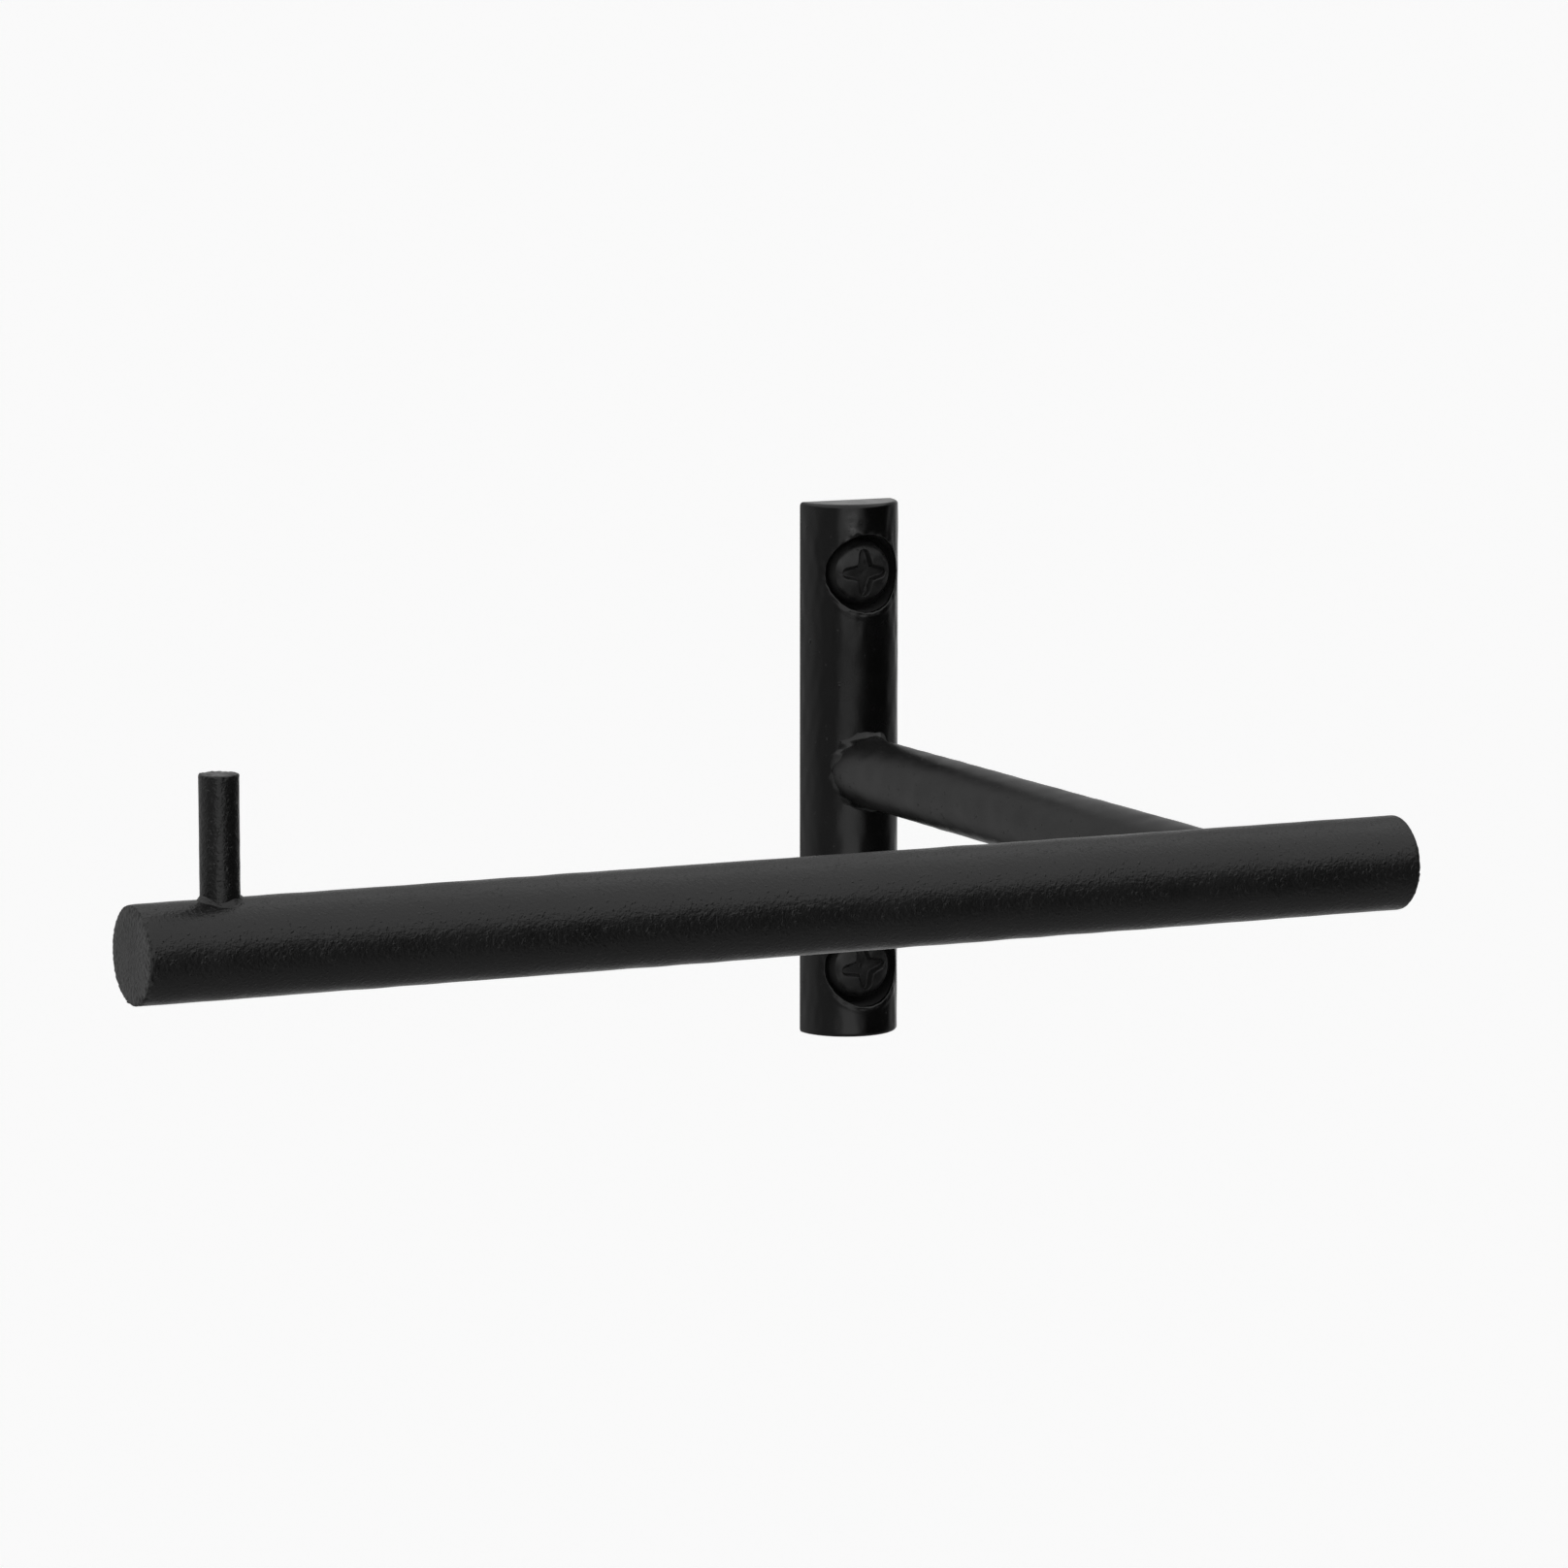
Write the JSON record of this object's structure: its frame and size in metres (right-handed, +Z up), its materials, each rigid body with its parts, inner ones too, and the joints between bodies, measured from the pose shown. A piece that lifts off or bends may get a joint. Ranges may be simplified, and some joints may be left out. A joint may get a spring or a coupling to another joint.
{
  "type": "wall-mounted paper roll holder",
  "caption": "Welded bar bracket that screws to a wall: an arm carries an open-ended roll bar with an upright stop pin, for a paper roll to hang on.",
  "frame": {"origin": "centre of the wall bar's flat back, on the wall plane", "axes": "+X to the right along the roll bar, +Y into the wall, +Z up along the wall bar"},
  "size_m": [0.142, 0.1075, 0.062],
  "materials": {
    "powder_coat": "matte black fine-texture powder coat on steel bar",
    "screw_black": "black passivated and lacquered steel screw, satin"
  },
  "bodies": {
    "root": {"wall_bar": "powder_coat", "arm": "powder_coat", "roll_bar": "powder_coat", "stop_pin": "powder_coat", "arm_to_wall_bar_weld": "powder_coat", "arm_to_roll_bar_weld": "powder_coat", "stop_pin_weld": "powder_coat", "upper_wall_screw": "screw_black", "lower_wall_screw": "screw_black"}
  },
  "joints": []
}
